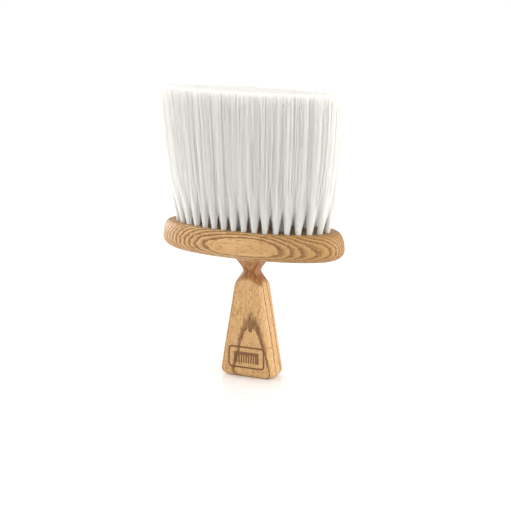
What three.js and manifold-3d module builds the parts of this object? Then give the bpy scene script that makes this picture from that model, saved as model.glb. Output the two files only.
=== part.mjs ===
// Neck duster brush: a wooden handle, an oval wooden head block and the nylon tufts set in it.
// Millimetres, +Z up. The origin is the centre of the handle's flat base, X runs along the head.
import * as THREE from 'three';
import { mergeVertices } from 'three/addons/utils/BufferGeometryUtils.js';
import Module from 'manifold-3d';

const wasm = await Module();
wasm.setup();

// ---- driving dimensions ----
const FIT_GAP = 0.3; // clearance between pieces that are glued or pressed together

// head block, an oval with rounded edges
const HEAD_LENGTH = 118.4;
const HEAD_DEPTH = 49.6;
const HEAD_BOTTOM = 77;
const HEAD_THICKNESS = 17.3;
// Its wall bulges: each edge is a quarter ellipse, `endStretch` times wider at the two ends.
const HEAD_LOWER_EDGE = { inset: 6.8, height: 6.5, endStretch: 1.4 };
const HEAD_UPPER_EDGE = { inset: 2.6, height: 10.4, endStretch: 1.9 };

// handle
const GRIP_WIDTH = 37.6; // at the base, if the base corners were sharp
const GRIP_DEPTH = 17;
const SHOULDER_WIDTH = 19.6;
const SHOULDER_DEPTH = 15.8;
const SHOULDER_Z = 56;
const GRIP_SQUARENESS = 5; // superellipse power of the grip's section
const BASE_ROUNDING = { x: 6, y: 3.4, z: 5 };
const BLANK_RADIUS = 24; // of the round blank that the handle is cut from
const WAIST = { z: 66.3, radius: 5.6, hollow: 1.5, slope: 0.8 }; // a hyperbola's throat and spread
const WAIST_FROM = 56.5; // below this the grip's corners are inside the turned shape
const COLLAR_EDGE = 0.8; // height of the collar's straight rim
const TENON_RADIUS = 5;
const TENON_LENGTH = 6;

// tufts, in two oval rings and a row along the middle
const TUFT_HOLE_RADIUS = 1.95;
const TUFT_HOLE_DEPTH = 7.5;
const TUFT_TOP_Z = 176.8;
const TUFT_ROOT_RADIUS = 1.62;
const TUFT_SPREAD = { x: 1.22, y: 0.8 }; // they fan out along the head and draw in across it
const OUTER_RING = { name: 'outer', count: 34, halfX: 48.6, halfY: 19.9 };
const MIDDLE_RING = { name: 'middle', count: 18, halfX: 37.8, halfY: 10.4 };
const CENTRE_ROW = { name: 'centre', count: 5, pitch: 10 };

// facets
const HEAD_SIDES = 56;
const HANDLE_SIDES = 32;
const TUFT_SIDES = 8;
const ROUNDING_STEPS = 4;
const WAIST_STEPS = 15;

// ---- materials ----
const headWood = new THREE.MeshStandardMaterial({ color: 0xd9b07a, roughness: 0.5, metalness: 0 });
const handleWood = new THREE.MeshStandardMaterial({ color: 0xd6a46c, roughness: 0.5, metalness: 0 });
const nylon = new THREE.MeshStandardMaterial({ color: 0xf4f3ee, roughness: 0.6, metalness: 0 });

// ---- geometry helpers ----

// A point on a superellipse, measured around it by angle.
function ovalPoint(angle, halfX, halfY, power) {
  const across = Math.cos(angle);
  const along = Math.sin(angle);
  const x = halfX * Math.sign(across) * Math.abs(across) ** (2 / power);
  const y = halfY * Math.sign(along) * Math.abs(along) ** (2 / power);
  return { x, y };
}

// A closed body through a stack of ovals. Each level is { z, halfX, halfY, power, x, y }.
// It is a lathe whose rings are pulled from circles into ovals, with a pole at each end.
function stackedOvals(levels, sides) {
  const rings = [{ ...levels[0], halfX: 0, halfY: 0 }, ...levels];
  rings.push({ ...levels[levels.length - 1], halfX: 0, halfY: 0 });
  const profile = rings.map((ring) => new THREE.Vector2(ring.halfX, ring.z));
  const geometry = new THREE.LatheGeometry(profile, sides);
  const position = geometry.attributes.position;
  for (let side = 0; side <= sides; side += 1) {
    const angle = ((side % sides) / sides) * 2 * Math.PI;
    rings.forEach((ring, level) => {
      const { x, y } = ovalPoint(angle, ring.halfX, ring.halfY, ring.power ?? 2);
      position.setXYZ(side * rings.length + level, (ring.x ?? 0) + x, (ring.y ?? 0) + y, ring.z);
    });
  }
  return welded(geometry);
}

// Merges shared vertices and drops the triangles that shrink to nothing at the poles.
function welded(geometry) {
  geometry.deleteAttribute('normal');
  geometry.deleteAttribute('uv');
  const merged = mergeVertices(geometry);
  const corners = merged.index.array;
  const kept = [];
  for (let i = 0; i < corners.length; i += 3) {
    const [a, b, c] = corners.slice(i, i + 3);
    if (a !== b && b !== c && c !== a) kept.push(a, b, c);
  }
  merged.setIndex(kept);
  return merged;
}

function toSolid(geometry) {
  const vertProperties = new Float32Array(geometry.attributes.position.array);
  const triVerts = new Uint32Array(geometry.index.array);
  return new wasm.Manifold(new wasm.Mesh({ numProp: 3, vertProperties, triVerts }));
}

function toGeometry(solid) {
  const { vertProperties, triVerts } = solid.getMesh();
  const geometry = new THREE.BufferGeometry();
  geometry.setAttribute('position', new THREE.BufferAttribute(vertProperties, 3));
  geometry.setIndex(new THREE.BufferAttribute(triVerts, 1));
  geometry.computeVertexNormals();
  return geometry;
}

function namedMesh(name, geometry, material) {
  const mesh = new THREE.Mesh(geometry, material);
  mesh.name = name;
  return mesh;
}

// How far a rounded edge is set back at `height` above its start, 1 at the start to 0 at the end.
function setBack(height, rounding) {
  const fall = 1 - Math.min(height / rounding, 1);
  return 1 - Math.sqrt(1 - fall * fall);
}

// How far in from the block's widest oval an edge is, at a distance from that edge's flat face.
function edgeInset({ inset, height, endStretch }, distance) {
  const y = inset * setBack(distance, height);
  return { x: y * endStretch, y };
}

// ---- tuft layout ----

// The roots of one ring, equally spaced along its oval.
function ringRoots({ count, halfX, halfY }) {
  const curve = new THREE.EllipseCurve(0, 0, halfX, halfY);
  return curve.getSpacedPoints(count).slice(0, count);
}

// The roots of a straight row along X, centred on the head.
function rowRoots({ count, pitch }) {
  const middle = (count - 1) / 2;
  return Array.from({ length: count }, (_, index) => new THREE.Vector2((index - middle) * pitch, 0));
}

function tipOf(root) {
  return new THREE.Vector2(root.x * TUFT_SPREAD.x, root.y * TUFT_SPREAD.y);
}

// Each tuft widens until it nearly meets its nearest neighbour at the tip.
function tipRadius(tip, allTips) {
  const distances = allTips.map((other) => other.distanceTo(tip)).filter((distance) => distance > 0);
  return (Math.min(...distances) - FIT_GAP) / 2;
}

// ---- pieces ----

function headBlock(roots) {
  const top = HEAD_BOTTOM + HEAD_THICKNESS;
  const heights = [];
  for (let step = 0; step <= ROUNDING_STEPS; step += 1) {
    const turn = (step / ROUNDING_STEPS) * (Math.PI / 2);
    heights.push(HEAD_LOWER_EDGE.height * (1 - Math.cos(turn)));
    heights.push(HEAD_THICKNESS - HEAD_UPPER_EDGE.height * (1 - Math.cos(turn)));
  }
  heights.sort((low, high) => low - high);
  const levels = heights.map((height) => {
    const below = edgeInset(HEAD_LOWER_EDGE, height);
    const above = edgeInset(HEAD_UPPER_EDGE, HEAD_THICKNESS - height);
    return {
      z: HEAD_BOTTOM + height,
      halfX: HEAD_LENGTH / 2 - below.x - above.x,
      halfY: HEAD_DEPTH / 2 - below.y - above.y,
    };
  });
  let solid = toSolid(stackedOvals(levels, HEAD_SIDES));
  for (const root of roots) {
    solid = solid.subtract(toSolid(roundPeg(root, TUFT_HOLE_RADIUS, top - TUFT_HOLE_DEPTH, top + 1)));
  }
  const socketRadius = TENON_RADIUS + FIT_GAP;
  const socketTop = HEAD_BOTTOM + TENON_LENGTH + FIT_GAP;
  const centre = new THREE.Vector2(0, 0);
  solid = solid.subtract(
    toSolid(roundPeg(centre, socketRadius, HEAD_BOTTOM - 1, socketTop, HANDLE_SIDES)),
  );
  return namedMesh('head_block', toGeometry(solid), headWood);
}

function roundPeg(centre, radius, bottom, top, sides = TUFT_SIDES) {
  const ring = { x: centre.x, y: centre.y, halfX: radius, halfY: radius };
  return stackedOvals([{ ...ring, z: bottom }, { ...ring, z: top }], sides);
}

// The grip's half size at a height, along X or Y, before its base edge is rounded.
function taper(z, base, shoulder) {
  return (base + ((shoulder - base) * z) / SHOULDER_Z) / 2;
}

function gripLevels() {
  const heights = [];
  for (let step = 0; step <= ROUNDING_STEPS; step += 1) {
    const turn = (step / ROUNDING_STEPS) * (Math.PI / 2);
    heights.push(BASE_ROUNDING.z * (1 - Math.cos(turn)));
  }
  heights.push(WAIST.z);
  return heights.map((z) => ({
    z,
    halfX: taper(z, GRIP_WIDTH, SHOULDER_WIDTH) - BASE_ROUNDING.x * setBack(z, BASE_ROUNDING.z),
    halfY: taper(z, GRIP_DEPTH, SHOULDER_DEPTH) - BASE_ROUNDING.y * setBack(z, BASE_ROUNDING.z),
    power: GRIP_SQUARENESS,
  }));
}

// Radius of the turned waist, which flares both ways from its throat like a hyperbola.
function waistRadius(z) {
  return WAIST.radius - WAIST.hollow + Math.hypot(WAIST.hollow, WAIST.slope * (z - WAIST.z));
}

// What the lathe leaves: round blank, waist, the collar's rim under the head, and tenon.
function turnedBody() {
  const rimZ = HEAD_BOTTOM - FIT_GAP;
  const flareTop = rimZ - COLLAR_EDGE;
  const profile = [[BLANK_RADIUS, -1], [BLANK_RADIUS, WAIST_FROM]];
  for (let step = 0; step <= WAIST_STEPS; step += 1) {
    const z = WAIST_FROM + ((flareTop - WAIST_FROM) * step) / WAIST_STEPS;
    profile.push([waistRadius(z), z]);
  }
  profile.push([waistRadius(flareTop), rimZ], [TENON_RADIUS, rimZ]);
  profile.push([TENON_RADIUS, HEAD_BOTTOM + TENON_LENGTH]);
  const levels = profile.map(([radius, z]) => ({ z, halfX: radius, halfY: radius }));
  return toSolid(stackedOvals(levels, HANDLE_SIDES));
}

// The grip is planed square up to the throat of the waist; above it the turned shape is left alone.
function handle() {
  const centre = new THREE.Vector2(0, 0);
  const planed = toSolid(stackedOvals(gripLevels(), HANDLE_SIDES));
  const tenonTop = HEAD_BOTTOM + TENON_LENGTH;
  const above = toSolid(roundPeg(centre, BLANK_RADIUS, WAIST.z, tenonTop + 1, HANDLE_SIDES));
  const solid = turnedBody().intersect(planed.add(above));
  return namedMesh('handle', toGeometry(solid), handleWood);
}

// One bundle of filaments: straight in its hole, then fanning out to its place at the tip.
function tuft(name, root, allTips) {
  const top = HEAD_BOTTOM + HEAD_THICKNESS;
  const tip = tipOf(root);
  const radius = tipRadius(tip, allTips);
  const round = { halfX: TUFT_ROOT_RADIUS, halfY: TUFT_ROOT_RADIUS };
  const levels = [
    { ...round, x: root.x, y: root.y, z: top - TUFT_HOLE_DEPTH + FIT_GAP },
    { ...round, x: root.x, y: root.y, z: top },
    { halfX: radius, halfY: radius, x: tip.x, y: tip.y, z: TUFT_TOP_Z },
  ];
  return namedMesh(name, stackedOvals(levels, TUFT_SIDES), nylon);
}

// ---- assembly ----
const brush = new THREE.Group();
brush.name = 'neck_duster_brush';
const layout = [
  { name: OUTER_RING.name, roots: ringRoots(OUTER_RING) },
  { name: MIDDLE_RING.name, roots: ringRoots(MIDDLE_RING) },
  { name: CENTRE_ROW.name, roots: rowRoots(CENTRE_ROW) },
];
const allRoots = layout.flatMap(({ roots }) => roots);
const allTips = allRoots.map(tipOf);
const tufts = new THREE.Group();
for (const { name, roots } of layout) {
  roots.forEach((root, index) => {
    const number = String(index + 1).padStart(2, '0');
    tufts.add(tuft(`tuft_${name}_${number}`, root, allTips));
  });
}
brush.add(handle(), headBlock(allRoots), tufts);

export default brush;
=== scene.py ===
"""A barber's neck duster: turned wooden handle, oval wooden block and soft white nylon tufts.

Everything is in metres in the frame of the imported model: Z up, X along the block, the origin at the
centre of the handle's flat base. Small sizes are written in millimetres times MM.
"""
import math
import re

import bmesh
import bpy
import numpy as np
from mathutils import Matrix, Vector


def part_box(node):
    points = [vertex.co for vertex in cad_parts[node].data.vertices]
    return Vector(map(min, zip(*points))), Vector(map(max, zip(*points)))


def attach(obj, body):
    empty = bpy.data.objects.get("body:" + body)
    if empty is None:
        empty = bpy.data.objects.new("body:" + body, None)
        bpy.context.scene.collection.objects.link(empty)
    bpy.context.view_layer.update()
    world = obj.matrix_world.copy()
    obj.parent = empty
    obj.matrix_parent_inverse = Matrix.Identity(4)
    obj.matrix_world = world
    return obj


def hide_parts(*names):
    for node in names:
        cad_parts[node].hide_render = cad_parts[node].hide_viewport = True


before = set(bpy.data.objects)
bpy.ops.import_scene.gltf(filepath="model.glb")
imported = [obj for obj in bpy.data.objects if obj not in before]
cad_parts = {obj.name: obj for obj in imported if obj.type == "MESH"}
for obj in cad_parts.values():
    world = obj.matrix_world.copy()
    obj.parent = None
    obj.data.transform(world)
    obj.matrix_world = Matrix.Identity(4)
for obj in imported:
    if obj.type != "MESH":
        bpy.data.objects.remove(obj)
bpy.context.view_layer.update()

MM = 0.001
HEAD_LOW, HEAD_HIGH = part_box("head_block")
HANDLE_LOW, HANDLE_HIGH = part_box("handle")

# ---- camera ----
CAMERA_AZIMUTH = math.radians(24)
CAMERA_ELEVATION = math.radians(13.4)
CAMERA_ROLL = math.radians(0.28)
CAMERA_DISTANCE = 0.95
CAMERA_LENS = 110.2
CAMERA_AIM_SIDE = 2 * MM
CAMERA_AIM_HEIGHT = 75.25 * MM

# ---- block ----
HEAD_LOWER_EDGE = (6.8 * MM, 6.5 * MM, 1.4)  # inset, height, and how much wider the inset is at the ends
HEAD_UPPER_EDGE = (2.6 * MM, 10.4 * MM, 1.9)
HEAD_COLUMNS = 288
ROUNDING_ROWS = 10
TUFT_HOLE_RADIUS = 1.95 * MM
TUFT_HOLE_DEPTH = 7.5 * MM
SOCKET_GAP = 0.3 * MM

# ---- handle ----
GRIP_HALF_WIDTH = 18.8 * MM
GRIP_HALF_DEPTH = 8.5 * MM
SHOULDER_HALF_WIDTH = 9.8 * MM
SHOULDER_HALF_DEPTH = 7.9 * MM
SHOULDER_Z = 56 * MM
GRIP_CORNER = 3.6 * MM
BASE_ROUNDING_X = 6 * MM
BASE_ROUNDING_Y = 3.4 * MM
BASE_ROUNDING_Z = 5 * MM
WAIST_Z = 66.3 * MM
WAIST_RADIUS = 5.6 * MM
WAIST_HOLLOW = 1.5 * MM
WAIST_SLOPE = 0.8
WAIST_FROM = 56.5 * MM
COLLAR_RADIUS = HANDLE_HIGH.y
COLLAR_EDGE = 0.8 * MM
RIM_Z = HEAD_LOW.z - SOCKET_GAP
TENON_RADIUS = 5 * MM
SANDED_EDGE = 0.8 * MM  # how softly the planed faces meet the turned cove

# ---- emblem burnt into the front of the grip: a comb in a plain frame ----
EMBLEM_Z = 12.8 * MM
EMBLEM_HALF_WIDTH = 11.6 * MM
EMBLEM_HALF_HEIGHT = 6.4 * MM
EMBLEM_CORNER = 2 * MM
EMBLEM_DEPTH = 0.4 * MM
COMB_HALF_WIDTH = 8 * MM
COMB_TEETH = 11
COMB_SPINE_UP = 2.4 * MM  # height of the comb's spine above the emblem's centre
FRAME_LINE_HALF_WIDTH = 0.28 * MM
FINE_COLUMNS_HALF_WIDTH = 14.6 * MM  # the handle's mesh is fine this far to each side of its middle

# ---- bristles ----
FILAMENTS_PER_TUFT = 300
FILAMENT_RADIUS = 0.1 * MM
ROOT_SPREAD = 1.5 * MM  # how far from a tuft's axis its filaments leave the hole
TIP_SPREAD = np.array([4.5, 3.5]) * MM  # and how far along and across the block they fan out at the tip
TIP_SCATTER = np.array([2.7, 1.9]) * MM  # each tip also strays by about this much
MOST_SCATTER = 2.6  # times that, at the most
LENGTH_SCATTER = 0.006  # how uneven the cut ends are, as a share of the length
MID_DRIFT = 0.4 * MM  # how far the middle of a filament strays
RIGHT_BOW = 1.1  # how much more of their lean the tufts on the +X side make near the root
RIGHT_BOW_FROM = 40 * MM  # and do so fully from here on
PAD_LEAN = -3.5 * MM  # all the tips lean this far towards -X
PAD_FAN = 0.965  # tips stand at this share of the CAD tips' distance from the middle, along X

rng = np.random.default_rng(7)


def smooth_step(low, high, value):
    """0 below low, 1 above high and a smooth curve between."""
    t = np.clip((value - low) / (high - low), 0, 1)
    return t * t * (3 - 2 * t)


# ---------------------------------------------------------------- meshes

def new_object(name, vertices, faces, smooth_angle=35):
    """A smooth-shaded mesh object that keeps its sharp edges sharp."""
    mesh = bpy.data.meshes.new(name)
    mesh.from_pydata(vertices, [], faces)
    mesh.shade_smooth()
    mesh.set_sharp_from_angle(angle=math.radians(smooth_angle))
    obj = bpy.data.objects.new(name, mesh)
    bpy.context.scene.collection.objects.link(obj)
    return obj


def skin_rings(rings):
    """Vertices and faces of a closed body through rings, an array of (row, column, 3)."""
    rows, columns = rings.shape[:2]
    vertices = rings.reshape(-1, 3).tolist()
    faces = []
    for row in range(rows - 1):
        for column in range(columns):
            after = (column + 1) % columns
            low, high = row * columns, (row + 1) * columns
            faces.append((low + column, low + after, high + after, high + column))
    faces.append(tuple(reversed(range(columns))))
    faces.append(tuple(range((rows - 1) * columns, rows * columns)))
    return vertices, faces


def set_back(height, rounding):
    """How much of a rounded edge's radius is cut away at a height above its start."""
    fall = 1 - np.clip(height / rounding, 0, 1)
    return 1 - np.sqrt(1 - fall ** 2)


def arc_heights(rounding, count):
    """Heights that step evenly round a quarter circle."""
    return rounding * (1 - np.cos(np.linspace(0, math.pi / 2, count)))


def cut(obj, cutter):
    """Takes the cutter's volume out of obj and removes the cutter."""
    modifier = obj.modifiers.new("cut", "BOOLEAN")
    modifier.operation = "DIFFERENCE"
    modifier.solver = "EXACT"
    modifier.object = cutter
    depsgraph = bpy.context.evaluated_depsgraph_get()
    mesh = bpy.data.meshes.new_from_object(obj.evaluated_get(depsgraph))
    obj.modifiers.clear()
    obj.data = mesh
    bpy.data.objects.remove(cutter)


def turned_rings(profile, columns, centre=(0, 0)):
    """Rings of a turned shape whose profile is a list of (radius, z)."""
    angles = np.linspace(0, 2 * math.pi, columns, endpoint=False)
    circle = np.stack([np.cos(angles), np.sin(angles)], 1)
    rings = [np.c_[np.array(centre) + radius * circle, np.full(columns, z)] for radius, z in profile]
    return np.array(rings)


# ---------------------------------------------------------------- block

def edge_inset(edge, distances):
    """How far in an edge is, along X and Y, at distances from its flat face."""
    inset, height, end_stretch = edge
    along_y = inset * set_back(distances, height)
    return np.stack([along_y * end_stretch, along_y], 1)


def head_rings():
    """Oval rings up the bulging wall of the block, with one more just inside each flat face."""
    thickness = HEAD_HIGH.z - HEAD_LOW.z
    heights = np.unique(np.concatenate([
        arc_heights(HEAD_LOWER_EDGE[1], ROUNDING_ROWS),
        thickness - arc_heights(HEAD_UPPER_EDGE[1], ROUNDING_ROWS),
    ]).round(7))
    inset = edge_inset(HEAD_LOWER_EDGE, heights) + edge_inset(HEAD_UPPER_EDGE, thickness - heights)
    flat_lip = 0.2 * MM
    heights = np.concatenate([[heights[0]], heights, [heights[-1]]])
    inset = np.concatenate([[inset[0] + flat_lip], inset, [inset[-1] + flat_lip]])
    angles = np.linspace(0, 2 * math.pi, HEAD_COLUMNS, endpoint=False)
    circle = np.stack([np.cos(angles), np.sin(angles)], 1)
    half = np.array([HEAD_HIGH.x, HEAD_HIGH.y])
    rings = [
        np.c_[circle * (half - back), np.full(HEAD_COLUMNS, HEAD_LOW.z + height)]
        for height, back in zip(heights, inset)
    ]
    return np.array(rings)


def tuft_hole_cutter(roots):
    """One mesh of drills: each has a pointed end and a slightly eased mouth."""
    top = HEAD_HIGH.z
    profile = [
        (0.2 * MM, top - TUFT_HOLE_DEPTH - 0.6 * MM),
        (TUFT_HOLE_RADIUS, top - TUFT_HOLE_DEPTH),
        (TUFT_HOLE_RADIUS, top - 0.25 * MM),
        (TUFT_HOLE_RADIUS + 0.25 * MM, top),
        (TUFT_HOLE_RADIUS + 0.25 * MM, top + 1 * MM),
    ]
    vertices, faces = [], []
    for root in roots:
        own_vertices, own_faces = skin_rings(turned_rings(profile, 20, root))
        faces += [tuple(corner + len(vertices) for corner in face) for face in own_faces]
        vertices += own_vertices
    return new_object("hole_cutter", vertices, faces)


def make_head_block(roots):
    """The oval block with its drilled tuft holes and the socket for the handle's tenon."""
    block = new_object("oval_block", *skin_rings(head_rings()))
    cut(block, tuft_hole_cutter(roots))
    socket = [
        (TENON_RADIUS + SOCKET_GAP, HEAD_LOW.z - 1 * MM),
        (TENON_RADIUS + SOCKET_GAP, HANDLE_HIGH.z + SOCKET_GAP),
    ]
    cut(block, new_object("socket_cutter", *skin_rings(turned_rings(socket, 64))))
    block.data.shade_smooth()
    block.data.set_sharp_from_angle(angle=math.radians(35))
    block.data.materials.clear()
    block.data.materials.append(head_wood())
    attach(block, "root")
    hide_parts("head_block")


# ---------------------------------------------------------------- handle

def turned_radius(z):
    """Radius that the lathe leaves at a height: a waist that flares both ways like a hyperbola."""
    if z < WAIST_FROM:
        return 2 * COLLAR_RADIUS
    return WAIST_RADIUS - WAIST_HOLLOW + math.hypot(WAIST_HOLLOW, WAIST_SLOPE * (z - WAIST_Z))


def planed_radius(z, across, along):
    """Distance from the axis to the grip's rounded-square section, in each direction given."""
    share = z / SHOULDER_Z
    base_x = BASE_ROUNDING_X * set_back(z, BASE_ROUNDING_Z)
    base_y = BASE_ROUNDING_Y * set_back(z, BASE_ROUNDING_Z)
    half_x = GRIP_HALF_WIDTH + (SHOULDER_HALF_WIDTH - GRIP_HALF_WIDTH) * share - base_x
    half_y = GRIP_HALF_DEPTH + (SHOULDER_HALF_DEPTH - GRIP_HALF_DEPTH) * share - base_y
    corner = min(GRIP_CORNER, half_y)
    across, along = np.maximum(np.abs(across), 1e-9), np.maximum(np.abs(along), 1e-9)
    to_side, to_face = half_x / across, half_y / along
    reach = np.minimum(to_side, to_face)
    inner_x, inner_y = half_x - corner, half_y - corner
    at_corner = (reach * across > inner_x) & (reach * along > inner_y)
    middle = across * inner_x + along * inner_y
    under_root = np.maximum(middle ** 2 - inner_x ** 2 - inner_y ** 2 + corner ** 2, 0)
    return np.where(at_corner, middle + np.sqrt(under_root), reach)


def softer_minimum(first, second, softness):
    """The smaller of two lengths, with a small fillet where they cross."""
    blend = np.clip(0.5 + 0.5 * (second - first) / softness, 0, 1)
    return second * (1 - blend) + first * blend - softness * blend * (1 - blend)


def column_angles():
    """Directions round the handle, close together across the front face that carries the emblem."""
    front_x = np.linspace(-FINE_COLUMNS_HALF_WIDTH, FINE_COLUMNS_HALF_WIDTH, 133)
    front = np.arctan2(np.full_like(front_x, -GRIP_HALF_DEPTH), front_x)
    rest = np.linspace(front[-1], front[0] + 2 * math.pi, 121)[1:-1]
    return np.concatenate([front, rest])


def row_heights():
    """Heights of the rows: fine at the base edge, over the emblem and at the shoulders."""
    emblem_low = EMBLEM_Z - EMBLEM_HALF_HEIGHT - 1 * MM
    emblem_high = EMBLEM_Z + EMBLEM_HALF_HEIGHT + 1 * MM
    return np.unique(np.concatenate([
        arc_heights(BASE_ROUNDING_Z, 16),
        np.arange(emblem_low, emblem_high, 0.22 * MM),
        np.arange(emblem_high, WAIST_FROM, 1.5 * MM),
        np.arange(WAIST_FROM - 1 * MM, WAIST_Z, 0.3 * MM),
        np.arange(WAIST_Z, RIM_Z - COLLAR_EDGE, 0.4 * MM),
        [RIM_Z - COLLAR_EDGE],
    ]).round(7))


def box_distance(x, z, half_x, half_z, corner=0.0):
    """Signed distance to a rounded rectangle round the origin, negative inside."""
    over_x = np.abs(x) - half_x + corner
    over_z = np.abs(z) - half_z + corner
    outside = np.hypot(np.maximum(over_x, 0), np.maximum(over_z, 0))
    return outside + np.minimum(np.maximum(over_x, over_z), 0) - corner


def emblem_distance(x, z):
    """Signed distance to the emblem's lines: a rounded frame round a comb with its teeth down."""
    z = z - EMBLEM_Z
    frame_edge = box_distance(x, z, EMBLEM_HALF_WIDTH, EMBLEM_HALF_HEIGHT, EMBLEM_CORNER)
    frame_line = np.abs(frame_edge) - FRAME_LINE_HALF_WIDTH
    spine = box_distance(x, z - COMB_SPINE_UP, COMB_HALF_WIDTH, 0.8 * MM, 0.5 * MM)
    nearest = np.minimum(frame_line, spine)
    for tooth_x in np.linspace(-COMB_HALF_WIDTH, COMB_HALF_WIDTH, COMB_TEETH):
        at_end = abs(tooth_x) > COMB_HALF_WIDTH - 0.1 * MM
        half_width = 0.45 * MM if at_end else 0.25 * MM
        inward = -math.copysign(half_width, tooth_x) if at_end else 0
        tooth = box_distance(x - tooth_x - inward, z + 0.5 * MM, half_width, 2.9 * MM, 0.25 * MM)
        nearest = np.minimum(nearest, tooth)
    return nearest


def make_handle():
    """The handle: a planed, flared grip under a turned neck, collar and tenon."""
    angles = column_angles()
    across, along = np.cos(angles), np.sin(angles)
    rings, scorch, turned = [], [], []
    for z in row_heights():
        radius = np.full(len(angles), turned_radius(z))
        by_lathe = np.ones(len(angles))
        if z < WAIST_Z:
            planed = planed_radius(z, across, along)
            by_lathe = smooth_step(-0.4 * MM, 1.2 * MM, planed - radius)
            radius = softer_minimum(planed, radius, SANDED_EDGE)
        turned.append(by_lathe)
        ring = np.stack([radius * across, radius * along, np.full(len(angles), z)], 1)
        distance = emblem_distance(ring[:, 0], ring[:, 2])
        distance = np.where(ring[:, 1] < 0, distance, 1)
        ring[:, 1] += EMBLEM_DEPTH * smooth_step(0.1 * MM, -0.15 * MM, distance)
        scorch.append(np.exp(-np.maximum(distance, 0) / (0.3 * MM)))
        rings.append(ring)
    for radius, z in tenon_profile():
        ring = np.stack([radius * across, radius * along, np.full(len(angles), z)], 1)
        rings.append(ring)
        scorch.append(np.zeros(len(angles)))
        turned.append(np.ones(len(angles)))
    handle = new_object("turned_handle", *skin_rings(np.array(rings)), smooth_angle=50)
    for name, values in (("scorch", scorch), ("turned", turned)):
        marks = handle.data.attributes.new(name, "FLOAT", "POINT")
        marks.data.foreach_set("value", np.concatenate(values).astype(np.float32))
    handle.data.materials.append(handle_wood())
    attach(handle, "root")
    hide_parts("handle")


def tenon_profile():
    """The collar's eased rim, its flat top under the block and the tenon, as (radius, z)."""
    ease = 0.25 * MM
    return [
        (COLLAR_RADIUS, RIM_Z - ease),
        (COLLAR_RADIUS - ease, RIM_Z),
        (TENON_RADIUS, RIM_Z),
        (TENON_RADIUS, HANDLE_HIGH.z - 2 * ease),
        (TENON_RADIUS - 2 * ease, HANDLE_HIGH.z),
    ]


# ---------------------------------------------------------------- bristles

def tuft_ends(node):
    """Root centre and tip centre of a tuft, read from its CAD solid."""
    points = np.array([vertex.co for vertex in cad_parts[node].data.vertices])
    low = points[points[:, 2] < points[:, 2].min() + 0.1 * MM]
    high = points[points[:, 2] > points[:, 2].max() - 0.1 * MM]
    root = (low.min(0) + low.max(0)) / 2
    tip = (high.min(0) + high.max(0)) / 2
    return root, tip


def disc_points(count):
    """Points spread evenly over a unit disc, slightly shaken."""
    index = np.arange(count) + 0.5
    angle = index * math.pi * (3 - math.sqrt(5)) + rng.uniform(0, 2 * math.pi)
    radius = np.sqrt(index / count) * rng.uniform(0.94, 1.0, count)
    return np.stack([radius * np.cos(angle), radius * np.sin(angle)], 1)


def opened(share):
    """How far a tuft has spread at a share of its height: hardly at first, then steadily."""
    return smooth_step(-0.06, 0.42, share) * (0.6 + 0.4 * share)


def filament_paths(root, tip):
    """Centre lines of one tuft's filaments, as (filament, point, 3)."""
    count = FILAMENTS_PER_TUFT
    disc = disc_points(count)
    shares = np.array([0, 0.06, 0.14, 0.24, 0.36, 0.52, 0.75, 1])
    mouth_z = HEAD_HIGH.z
    lengths = (tip[2] - mouth_z) * (1 - np.abs(rng.normal(0, LENGTH_SCATTER, count)))
    lean = np.array([tip[0] * PAD_FAN + PAD_LEAN - root[0], tip[1] - root[1]])
    bow = 1 + RIGHT_BOW * smooth_step(0, RIGHT_BOW_FROM, root[0])
    stray = TIP_SCATTER * np.clip(rng.laplace(0, 0.9, (count, 2)), -MOST_SCATTER, MOST_SCATTER)
    drift = rng.normal(0, MID_DRIFT, (count, 2))
    paths = [np.c_[root[:2] + disc * ROOT_SPREAD, np.full(count, mouth_z - TUFT_HOLE_DEPTH + 0.9 * MM)]]
    for share in shares:
        travelled = 1 - (1 - share) ** bow
        centre = root[:2] + lean * travelled
        fan = ROOT_SPREAD + (TIP_SPREAD - ROOT_SPREAD) * opened(share)
        place = centre + disc * fan + stray * opened(share) + drift * math.sin(math.pi * share)
        paths.append(np.c_[place, mouth_z + lengths * share])
    return np.stack(paths, 1)


def tube_mesh(name, paths, radius, sides=3):
    """One mesh of thin closed tubes along many paths of equal point count."""
    count, points = paths.shape[:2]
    angles = np.arange(sides) * 2 * math.pi / sides
    section = np.stack([np.cos(angles), np.sin(angles), np.zeros(sides)], 1) * radius
    taper = np.linspace(1, 0.75, points)
    corners = paths[:, :, None, :] + taper[None, :, None, None] * section[None, None]
    quads = [
        (row * sides + k, row * sides + (k + 1) % sides,
         (row + 1) * sides + (k + 1) % sides, (row + 1) * sides + k)
        for row in range(points - 1)
        for k in range(sides)
    ]
    ends = [tuple(reversed(range(sides))), tuple(range((points - 1) * sides, points * sides))]
    faces = []
    for tube in range(count):
        start = tube * points * sides
        faces += [tuple(start + corner for corner in face) for face in quads + ends]
    return new_object(name, corners.reshape(-1, 3).tolist(), faces, smooth_angle=80)


def make_tuft(node, materials):
    """The filaments of one tuft, in a few shades of the same nylon."""
    root, tip = tuft_ends(node)
    tuft = tube_mesh(f"bristles_{node[5:]}", filament_paths(root, tip), FILAMENT_RADIUS)
    for material in materials:
        tuft.data.materials.append(material)
    faces_per_filament = len(tuft.data.polygons) // FILAMENTS_PER_TUFT
    shade = rng.integers(0, len(materials), FILAMENTS_PER_TUFT)
    tuft.data.polygons.foreach_set("material_index", np.repeat(shade, faces_per_filament))
    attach(tuft, "root")
    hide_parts(node)
    return root


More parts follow.
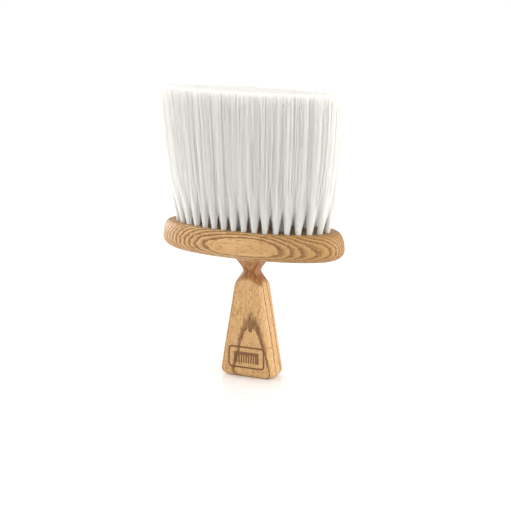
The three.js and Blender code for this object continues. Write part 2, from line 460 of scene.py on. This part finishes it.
def make_anchors(roots):
    """A short wire across the bottom of each tuft hole, which the filaments fold round."""
    half_length = 1.6 * MM
    wire = 0.3 * MM
    z = HEAD_HIGH.z - TUFT_HOLE_DEPTH + 0.5 * MM
    paths = np.array([
        [(root[0] + share * half_length, root[1], z) for share in (-1, -0.5, 0.5, 1)]
        for root in roots
    ])
    angles = np.arange(8) * math.pi / 4
    vertices, faces = [], []
    for path in paths:
        rings = np.array([
            np.stack([np.full(8, point[0]), point[1] + wire * np.cos(angles),
                      point[2] + wire * np.sin(angles)], 1)
            for point in path
        ])
        own_vertices, own_faces = skin_rings(rings)
        faces += [tuple(corner + len(vertices) for corner in face) for face in own_faces]
        vertices += own_vertices
    anchors = new_object("tuft_anchors", vertices, faces)
    anchors.data.materials.append(anchor_steel())
    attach(anchors, "root")


# ---------------------------------------------------------------- materials

class Shader:
    """A material's node tree, with short calls for the nodes used here."""

    def __init__(self, name):
        self.material = bpy.data.materials.new(name)
        self.material.use_nodes = True
        self.tree = self.material.node_tree
        self.tree.nodes.clear()
        self.output = self.add("ShaderNodeOutputMaterial")

    def add(self, kind, **settings):
        node = self.tree.nodes.new(kind)
        for key, value in settings.items():
            setattr(node, key, value)
        return node

    def feed(self, socket, value):
        """Links a socket to an output, or sets its own value."""
        if isinstance(value, bpy.types.NodeSocket):
            self.tree.links.new(value, socket)
        else:
            socket.default_value = value

    def math(self, operation, *values):
        node = self.add("ShaderNodeMath", operation=operation)
        for socket, value in zip(node.inputs, values):
            self.feed(socket, value)
        return node.outputs[0]

    def position(self):
        """The point's place on the object, in millimetres."""
        place = self.add("ShaderNodeTexCoord").outputs["Object"]
        return self.scaled(place, (1000, 1000, 1000))

    def scaled(self, vector, factors):
        node = self.add("ShaderNodeVectorMath", operation="MULTIPLY")
        self.feed(node.inputs[0], vector)
        self.feed(node.inputs[1], factors)
        return node.outputs[0]

    def apart(self, vector):
        node = self.add("ShaderNodeSeparateXYZ")
        self.feed(node.inputs[0], vector)
        return node.outputs

    def noise(self, vector, scale, detail=2.0, roughness=0.5):
        node = self.add("ShaderNodeTexNoise")
        self.feed(node.inputs["Vector"], vector)
        node.inputs["Scale"].default_value = scale
        node.inputs["Detail"].default_value = detail
        node.inputs["Roughness"].default_value = roughness
        return node.outputs["Fac"]

    def step(self, value, low, high, start=0.0, end=1.0):
        """start below low, end above high and a smooth curve between."""
        node = self.add("ShaderNodeMapRange", interpolation_type="SMOOTHSTEP")
        for socket, number in zip(node.inputs, (value, low, high, start, end)):
            self.feed(socket, number)
        return node.outputs[0]

    def mix(self, factor, first, second):
        node = self.add("ShaderNodeMix", data_type="RGBA")
        self.feed(node.inputs[0], factor)
        self.feed(node.inputs[6], first)
        self.feed(node.inputs[7], second)
        return node.outputs[2]

    def blend(self, share, first, second):
        """A shader that is first, with a share of second mixed in."""
        node = self.add("ShaderNodeMixShader")
        node.inputs[0].default_value = share
        self.tree.links.new(first.outputs[0], node.inputs[1])
        self.tree.links.new(second.outputs[0], node.inputs[2])
        return node

    def principled(self, **values):
        node = self.add("ShaderNodeBsdfPrincipled")
        for name, value in values.items():
            self.feed(node.inputs[name.replace("_", " ")], value)
        return node

    def finish(self, shader):
        self.tree.links.new(shader.outputs[0], self.output.inputs["Surface"])
        return self.material


PALE_WOOD = (0.6, 0.375, 0.165, 1)
WARM_WOOD = (0.51, 0.28, 0.105, 1)
DARK_TONE_WOOD = (0.36, 0.2, 0.055, 1)
RING_BROWN = (0.22, 0.1, 0.033, 1)
PORE_BROWN = (0.16, 0.07, 0.025, 1)
# Brown of the lathe-cut neck: partly its end grain, partly painted shade under the block.
END_GRAIN_AND_SHADE = (0.24, 0.082, 0.022, 1)
SCORCHED = (0.19, 0.085, 0.03, 1)

# Above 1 the glow gives back more light than it takes in. Chosen for the look, not a measured value.
GLOW_GAIN = 1.06
CLEAR_SHARE = 0.52

# Growth rings, in millimetres. In the block they circle a pith along X, just outside its front.
PITH_Y = -35.2
PITH_Z = 85.5
BLOCK_FIRST_RING = 13.9
BLOCK_RING_WIDTH = 1.45
# On the grip they are curved sheets that lean forward as they rise and so cut an arch on its front.
ARCH_X = 3.9
ARCH_SPREAD = 40
ARCH_LEAN = 0.115
GRIP_FIRST_RING = 3.85
GRIP_RING_WIDTH = 6.2


def wood_surface(shader, rings, early_share, along_grain, flecks, dark_tone=0.0, end_grain_and_shade=0.0, scorch=0.0):
    """Ring-porous wood. `rings` counts growth rings, each dark for its first `early_share`.

    `along_grain` is the position with the axis of the grain shrunk, which draws the pores out, and
    `flecks` is how strongly the pores show.
    """
    phase = shader.math("FRACT", rings)
    fading = shader.step(phase, early_share / 6, early_share, 1.0, 0.0)
    edge = shader.step(phase, 1 - early_share / 10, 1.0)
    early = shader.math("MAXIMUM", fading, edge)
    blotch = shader.noise(along_grain, 0.55, 3.0)
    pore_noise = shader.noise(along_grain, 1.7, 2.0, 0.6)
    threshold = shader.math("MULTIPLY_ADD", early, -0.13, 0.64 - 0.06 * flecks)
    pore_excess = shader.math("SUBTRACT", pore_noise, threshold)
    pores = shader.step(pore_excess, 0.0, 0.06)
    ground = shader.mix(shader.step(blotch, 0.3, 0.75), PALE_WOOD, WARM_WOOD)
    ground = shader.mix(dark_tone, ground, DARK_TONE_WOOD)
    broken = shader.step(shader.noise(along_grain, 1.1, 3.0, 0.6), 0.36, 0.6, 0.6, 1.0)
    ring_tint = shader.math("MULTIPLY", early, broken)
    colour = shader.mix(ring_tint, ground, RING_BROWN)
    colour = shader.mix(shader.math("MULTIPLY", pores, 0.75 * flecks), colour, PORE_BROWN)
    # Darkens the turned neck: partly end grain, partly painted shade under the block.
    colour = shader.mix(end_grain_and_shade, colour, END_GRAIN_AND_SHADE)
    colour = shader.mix(scorch, colour, SCORCHED)
    relief = shader.math("MULTIPLY_ADD", early, -0.35, shader.math("MULTIPLY", pores, -1.0))
    bump = shader.add("ShaderNodeBump")
    bump.inputs["Strength"].default_value = 0.35
    bump.inputs["Distance"].default_value = 0.12 * MM
    shader.feed(bump.inputs["Height"], relief)
    surface = shader.principled(
        Base_Color=colour,
        Roughness=shader.step(pores, 0.0, 1.0, 0.45, 0.65),
        Normal=bump.outputs[0],
        Specular_IOR_Level=0.35,
    )
    return shader.finish(surface)


def head_wood():
    """Wood of the block: grain along X, growth rings round a pith just outside its front."""
    shader = Shader("ash_block")
    place = shader.position()
    x, y, z = shader.apart(place)
    wander = shader.noise(shader.scaled(place, (0.35, 1, 1)), 0.06, 2.0)
    fine_wander = shader.noise(shader.scaled(place, (0.3, 1, 1)), 0.5, 2.0)
    from_pith = shader.math("SUBTRACT", y, PITH_Y)
    from_pith = shader.math("MULTIPLY_ADD", x, -0.034, from_pith)
    above_pith = shader.math("SUBTRACT", z, PITH_Z)
    radius = shader.math("SQRT", shader.math(
        "MULTIPLY_ADD", above_pith, above_pith, shader.math("MULTIPLY", from_pith, from_pith),
    ))
    beyond = shader.math("MAXIMUM", shader.math("SUBTRACT", x, 35.0), 0.0)
    bend = shader.math("MULTIPLY", shader.math("MULTIPLY", beyond, beyond), -0.014)
    radius = shader.math("ADD", radius, bend)
    radius = shader.math("MULTIPLY_ADD", wander, 2.4, radius)
    radius = shader.math("MULTIPLY_ADD", fine_wander, 0.7, radius)
    rings = shader.math("DIVIDE", shader.math("SUBTRACT", radius, BLOCK_FIRST_RING), BLOCK_RING_WIDTH)
    rings = shader.math("MAXIMUM", rings, -0.3)  # inside the first dark ring the wood is plain
    along_grain = shader.scaled(place, (0.16, 1, 1))
    # The wood turns to a darker brown from x = -5 mm to +45 mm along the block.
    dark_tone = shader.step(x, -5.0, 45.0, 0.0, 0.75)
    return wood_surface(shader, rings, 0.7, along_grain, 0.8, dark_tone)


def handle_wood():
    """Wood of the handle: grain along Z, rings that arch across the front of the grip."""
    shader = Shader("ash_handle")
    place = shader.position()
    x, y, z = shader.apart(place)
    wander = shader.noise(shader.scaled(place, (1, 1, 0.3)), 0.07, 2.0)
    fine_wander = shader.noise(shader.scaled(place, (1, 1, 0.3)), 0.5, 2.0)
    streaks = shader.noise(shader.scaled(place, (1, 1, 0.12)), 0.5, 3.0)
    depth = shader.math("MULTIPLY_ADD", z, ARCH_LEAN, y)
    aside = shader.math("SUBTRACT", x, ARCH_X)
    depth = shader.math("MULTIPLY_ADD", shader.math("MULTIPLY", aside, aside), 1 / ARCH_SPREAD, depth)
    depth = shader.math("MULTIPLY_ADD", wander, 3.0, depth)
    depth = shader.math("MULTIPLY_ADD", fine_wander, 0.5, depth)
    rings = shader.math("DIVIDE", shader.math("SUBTRACT", depth, GRIP_FIRST_RING), GRIP_RING_WIDTH)
    rings = shader.math("MULTIPLY_ADD", streaks, 0.12, rings)
    along_grain = shader.scaled(place, (1.5, 1.5, 0.28))
    turned = shader.add("ShaderNodeAttribute", attribute_name="turned").outputs["Fac"]
    # The turned neck gets darker below the block: partly end grain, partly painted shade under it. Less
    # of it near the collar rim paints a highlight on the rim.
    below_rim = shader.step(z, 71.0, 76.0, 0.85, 0.45)
    end_grain_and_shade = shader.math("MULTIPLY", turned, below_rim)
    end_grain_and_shade = shader.math("MULTIPLY", end_grain_and_shade, shader.step(streaks, 0.3, 0.6, 0.6, 1.0))
    scorch = shader.add("ShaderNodeAttribute", attribute_name="scorch").outputs["Fac"]
    return wood_surface(shader, rings, 0.22, along_grain, 1.1, 0.0, end_grain_and_shade, scorch)


def nylon(name, white):
    """White nylon filament: part gloss, part glow from light behind it, part clear."""
    shader = Shader(name)
    gloss = shader.principled(Base_Color=(white, white * 0.993, white * 0.975, 1), Roughness=0.38)
    glow = shader.add("ShaderNodeBsdfTranslucent")
    bright = GLOW_GAIN * white
    glow.inputs["Color"].default_value = (bright, bright * 0.99, bright * 0.965, 1)
    clear = shader.add("ShaderNodeBsdfTransparent")
    return shader.finish(shader.blend(CLEAR_SHARE, shader.blend(0.5, gloss, glow), clear))


def anchor_steel():
    """Drawn steel wire with faint lengthwise marks."""
    shader = Shader("anchor_wire")
    marks = shader.noise(shader.scaled(shader.position(), (0.2, 1, 1)), 6.0)
    surface = shader.principled(
        Base_Color=(0.55, 0.54, 0.52, 1),
        Metallic=1.0,
        Roughness=shader.step(marks, 0.3, 0.7, 0.3, 0.5),
    )
    return shader.finish(surface)


def studio_floor():
    """Glossy white table that shows a faint reflection."""
    shader = Shader("white_table")
    return shader.finish(shader.principled(Base_Color=(0.95, 0.95, 0.95, 1), Roughness=0.14))


# ---------------------------------------------------------------- studio

def make_camera():
    turn, lift = CAMERA_AZIMUTH, CAMERA_ELEVATION
    back = Vector((math.sin(turn) * math.cos(lift), -math.cos(turn) * math.cos(lift), math.sin(lift)))
    right = Vector((math.cos(turn), math.sin(turn), 0))
    up = back.cross(right)
    aim = right * CAMERA_AIM_SIDE + Vector((0, 0, CAMERA_AIM_HEIGHT))
    camera = bpy.data.objects.new("camera", bpy.data.cameras.new("camera"))
    camera.data.lens = CAMERA_LENS
    camera.data.sensor_width = 36
    camera.data.clip_start = 0.01
    turned = Matrix((right, up, back)).transposed() @ Matrix.Rotation(CAMERA_ROLL, 3, "Z")
    camera.matrix_world = Matrix.Translation(aim + back * CAMERA_DISTANCE) @ turned.to_4x4()
    bpy.context.scene.collection.objects.link(camera)
    bpy.context.scene.camera = camera


def make_floor():
    half = 40.0
    corners = [(-half, -half, 0), (half, -half, 0), (half, half, 0), (-half, half, 0)]
    floor = new_object("floor", corners, [(0, 1, 2, 3)])
    floor.data.materials.append(studio_floor())


def soft_light(name, place, size, watts):
    """A square light that faces the middle of the brush."""
    light = bpy.data.lights.new(name, "AREA")
    light.size = size
    light.energy = watts
    lamp = bpy.data.objects.new(name, light)
    aim = Vector((0, 0, 0.1))
    lamp.location = place
    lamp.rotation_euler = (aim - Vector(place)).to_track_quat("-Z", "Y").to_euler()
    bpy.context.scene.collection.objects.link(lamp)


def make_lights():
    world = bpy.data.worlds.new("white_room")
    world.use_nodes = True
    world.node_tree.nodes["Background"].inputs["Color"].default_value = (1, 1, 1, 1)
    world.node_tree.nodes["Background"].inputs["Strength"].default_value = 1.03
    bpy.context.scene.world = world
    soft_light("right_softbox", (1.1, 0.2, 0.3), 0.6, 9)
    soft_light("left_softbox", (-1.0, 0.15, 0.25), 0.6, 8)
    soft_light("front_softbox", (0.3, -1.2, 0.15), 0.8, 5)


def main():
    bpy.context.scene.view_settings.view_transform = "Standard"
    make_camera()
    make_floor()
    make_lights()
    shades = [nylon(f"nylon_{index}", white) for index, white in enumerate((0.95, 0.97, 0.99))]
    tuft_nodes = [node for node in sorted(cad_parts) if re.match("tuft_", node)]
    roots = [make_tuft(node, shades)[:2] for node in tuft_nodes]
    make_head_block(roots)
    make_handle()
    make_anchors(roots)


main()
